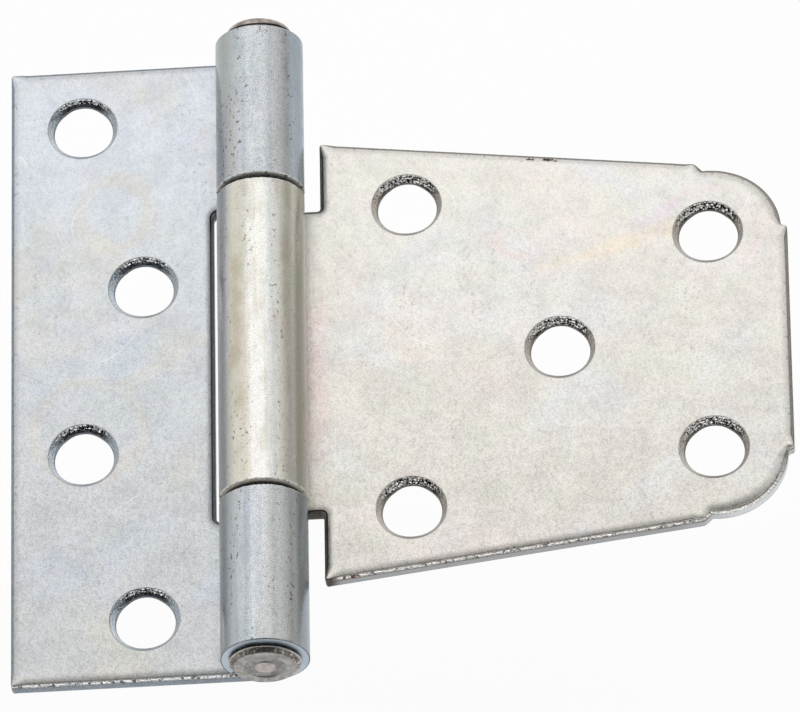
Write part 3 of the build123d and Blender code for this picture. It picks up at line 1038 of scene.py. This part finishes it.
# The slope under the rim is painted dark, as shade; its white flecks are painted glints.
slope = steel.blend(dirt, seen(128, 122, 116), seen(72, 66, 62))
fleck = steel.between(steel.noise(spot, scale=2600, roughness=0.65), 0.57, 0.63, 0, 0.8)
slope = steel.blend(fleck, slope, seen(228, 224, 218))
# The outer edge of the rim is painted light, as its highlight.
rim_edge_highlight = seen(188, 182, 176)
tone = disc
for start, end, next_tone in (
        (1.2, 1.4, groove), (2.45, 2.7, rim), (3.85, 4.05, slope), (4.42, 4.5, rim_edge_highlight)):
    tone = steel.blend(steel.between(radius, start * MM, end * MM), tone, next_tone)

# %% Tones of the top end and relief
# The top end is painted dark round its foot, a painted shadow where it stands out of the knuckle, reaching
# higher to each side.
cap_foot_shadow = seen(46, 42, 40)
shadow_curve = 0.022 / MM
across, height, _ = steel.split(spot)
crown = steel.blend(dirt, seen(190, 182, 176), seen(140, 130, 124))
sideways = steel.math("POWER", steel.math("ABSOLUTE", across), 2.0)
above_shadow = steel.math("SUBTRACT", height, steel.times(sideways, shadow_curve))
crown_share = steel.between(above_shadow, half_height + 1.0 * MM, half_height + 1.12 * MM)
top_tone = steel.blend(crown_share, cap_foot_shadow, crown)
tone = steel.blend(steel.between(height, 0, half_height), tone, top_tone)
steel.plug(steel.shader.inputs["Base Color"], tone)
steel.plug(steel.shader.inputs["Roughness"], steel.between(dirt, 0, 1, 0.24, 0.4))
rings = steel.add(
    "ShaderNodeTexNoise", "Fac", {"W": radius, "Scale": 5000.0, "Detail": 2.0}, noise_dimensions="1D")
turning_marks = steel.bump(rings, 0.02 * MM)
steel.plug(steel.shader.inputs["Normal"], steel.bump(steel.noise(spot, scale=2400), 0.02 * MM, turning_marks))
pin.data.materials.append(steel.material)
print(f"pin steel: {len(steel.tree.nodes)} nodes")

# %% [markdown]
# ## Floor, light and camera
# The setting is a plain white one with broad soft light. The floor lies well below the hinge, so the gate
# leaf can swing back past it without touching. A white floor under enough light would do, but it would take
# more light than the hinge should get, so the floor is a grey that shows white to the camera and in
# the metal and still takes some of the hinge's shadow.

# %% Floor
floor_drop = 68 * MM
floor_half = 3.0
floor_signs = ((-1, -1), (1, -1), (1, 1), (-1, 1))
floor_corners = [(floor_half * x, floor_half * y, -floor_drop) for x, y in floor_signs]
floor_mesh = bpy.data.meshes.new("floor")
floor_mesh.from_pydata(floor_corners, [], [(0, 1, 2, 3)])
floor = bpy.data.objects.new("floor", floor_mesh)
bpy.context.scene.collection.objects.link(floor)
print(f"floor {floor_drop / MM:.0f} mm below the hinge's back")

# %% White floor
paper_tone = (0.85, 0.85, 0.85, 1)
glow_share, glow_strength = 0.85, 1.05
white_floor = bpy.data.materials.new("white floor")
white_floor.use_nodes = True
nodes, links = white_floor.node_tree.nodes, white_floor.node_tree.links
nodes.remove(nodes["Principled BSDF"])
paper = nodes.new("ShaderNodeBsdfDiffuse")
paper.inputs["Color"].default_value = paper_tone
glow = nodes.new("ShaderNodeEmission")
glow.inputs["Strength"].default_value = glow_strength
path = nodes.new("ShaderNodeLightPath")
looking = None
for ray in ("Is Camera Ray", "Is Glossy Ray", "Is Transmission Ray"):
    step = nodes.new("ShaderNodeMath")
    step.operation = "MULTIPLY_ADD"
    step.inputs[1].default_value = glow_share
    step.inputs[2].default_value = 0.0
    links.new(path.outputs[ray], step.inputs[0])
    if looking is not None:
        links.new(looking.outputs[0], step.inputs[2])
    looking = step
mix = nodes.new("ShaderNodeMixShader")
links.new(looking.outputs[0], mix.inputs[0])
links.new(paper.outputs[0], mix.inputs[1])
links.new(glow.outputs[0], mix.inputs[2])
links.new(mix.outputs[0], nodes["Material Output"].inputs["Surface"])
floor_mesh.materials.append(white_floor)
print(f"floor glows by {glow_share:.0%} where it is looked at or mirrored")

# %% [markdown]
# Metal shows its surroundings, so the world is the main light: a dome that is bright behind the hinge, dims
# towards the horizon and is brighter again low behind the camera. Lamps alone would leave black gaps in the
# metal. One soft dark patch stands above the camera, where a real room is darker, and shapes the knuckles.
# The camera itself sees plain white. One large lamp, where the leaves mirror it towards the camera,
# adds a little direct light.

# %% The dome of light
az, el, roll = (math.radians(angle) for angle in (7.7502, 60.2787, -9.8449))
toward_camera = Vector((math.sin(az) * math.cos(el), -math.cos(az) * math.cos(el), math.sin(el)))
toward_key = Vector((-toward_camera.x, -toward_camera.y, toward_camera.z))
bright_side = (toward_key + Vector((-0.22, 0, 0))).normalized()
dome_levels = [
    (-1.0, 0.8), (-0.3, 0.62), (0.0, 0.4), (0.24, 0.58), (0.44, 0.79), (0.62, 0.92), (1.0, 0.95)]

world = bpy.data.worlds.new("soft studio")
bpy.context.scene.world = world
world.use_nodes = True
nodes, links = world.node_tree.nodes, world.node_tree.links
sky = nodes["Background"]
direction = nodes.new("ShaderNodeTexCoord")


def cosine_to(axis):
    """Node for the cosine of the angle between the direction looked in and an axis."""
    node = nodes.new("ShaderNodeVectorMath")
    node.operation = "DOT_PRODUCT"
    node.inputs[1].default_value = axis
    links.new(direction.outputs["Generated"], node.inputs[0])
    return node


spread = nodes.new("ShaderNodeMapRange")
spread.inputs["From Min"].default_value = -1.0
links.new(cosine_to(bright_side).outputs["Value"], spread.inputs["Value"])
ramp = nodes.new("ShaderNodeValToRGB")
links.new(spread.outputs["Result"], ramp.inputs["Fac"])
stops = ramp.color_ramp.elements
stops.remove(stops[1])
for count, (cosine, level) in enumerate(dome_levels):
    stop = stops[0] if count == 0 else stops.new((cosine + 1) / 2)
    stop.position = (cosine + 1) / 2
    stop.color = (level, level, level, 1)
links.new(ramp.outputs["Color"], sky.inputs["Color"])
print(f"dome of {len(stops)} levels, brightest {max(level for _, level in dome_levels):.2f}")

# %% The dark patch and the white background
dark_side = Vector((0.05, -0.66, 0.75)).normalized()
dark_fade = {"From Min": 0.62, "From Max": 0.95, "To Min": 1.0, "To Max": 0.3}
dimmer = nodes.new("ShaderNodeMapRange")
dimmer.interpolation_type = "SMOOTHSTEP"
for socket, value in dark_fade.items():
    dimmer.inputs[socket].default_value = value
links.new(cosine_to(dark_side).outputs["Value"], dimmer.inputs["Value"])
links.new(dimmer.outputs["Result"], sky.inputs["Strength"])
clear = nodes.new("ShaderNodeBackground")
clear.inputs["Color"].default_value = (1, 1, 1, 1)
path = nodes.new("ShaderNodeLightPath")
mix = nodes.new("ShaderNodeMixShader")
links.new(path.outputs["Is Camera Ray"], mix.inputs[0])
links.new(sky.outputs[0], mix.inputs[1])
links.new(clear.outputs[0], mix.inputs[2])
links.new(mix.outputs[0], nodes["World Output"].inputs["Surface"])
print(f"dark patch begins {math.degrees(math.acos(dark_fade['From Min'])):.0f} degrees from its middle")

# %% The key lamp
key_width, key_depth, key_distance, key_power = 0.9, 0.7, 1.0, 0.78
key_lamp = bpy.data.lights.new("key", "AREA")
key_lamp.shape = "RECTANGLE"
key_lamp.size, key_lamp.size_y = key_width, key_depth
key_lamp.energy = key_power
key = bpy.data.objects.new("key", key_lamp)
bpy.context.scene.collection.objects.link(key)
key.location = toward_key * key_distance
key.rotation_euler = toward_key.to_track_quat("Z", "Y").to_euler()
print(f"key lamp {key_width} by {key_depth} m, {key_power} W")

# %% [markdown]
# The camera was found by fitting a pinhole view to the photo's hole rims and leaf corners, with both leaves
# flat as they are at rest. It stands far off with a long lens, so the view is nearly parallel.

# %% Camera
camera_target = Vector((17.0099, 1.0794, 0)) * MM
camera_distance = 1560 * MM
right = Vector((0, 0, 1)).cross(toward_camera).normalized()
up = toward_camera.cross(right)
right, up = math.cos(roll) * right + math.sin(roll) * up, math.cos(roll) * up - math.sin(roll) * right
camera_data = bpy.data.cameras.new("camera")
camera_data.sensor_width = 36
camera_data.lens = 554.63
camera_data.clip_end = 20
camera = bpy.data.objects.new("camera", camera_data)
bpy.context.scene.collection.objects.link(camera)
axes = Matrix((right, up, toward_camera)).transposed().to_4x4()
camera.matrix_world = Matrix.Translation(camera_target + toward_camera * camera_distance) @ axes
bpy.context.scene.camera = camera
bpy.context.scene.view_settings.view_transform = "Standard"
print(f"camera {camera_distance:.2f} m off, field of view {math.degrees(camera_data.angle):.2f} degrees")
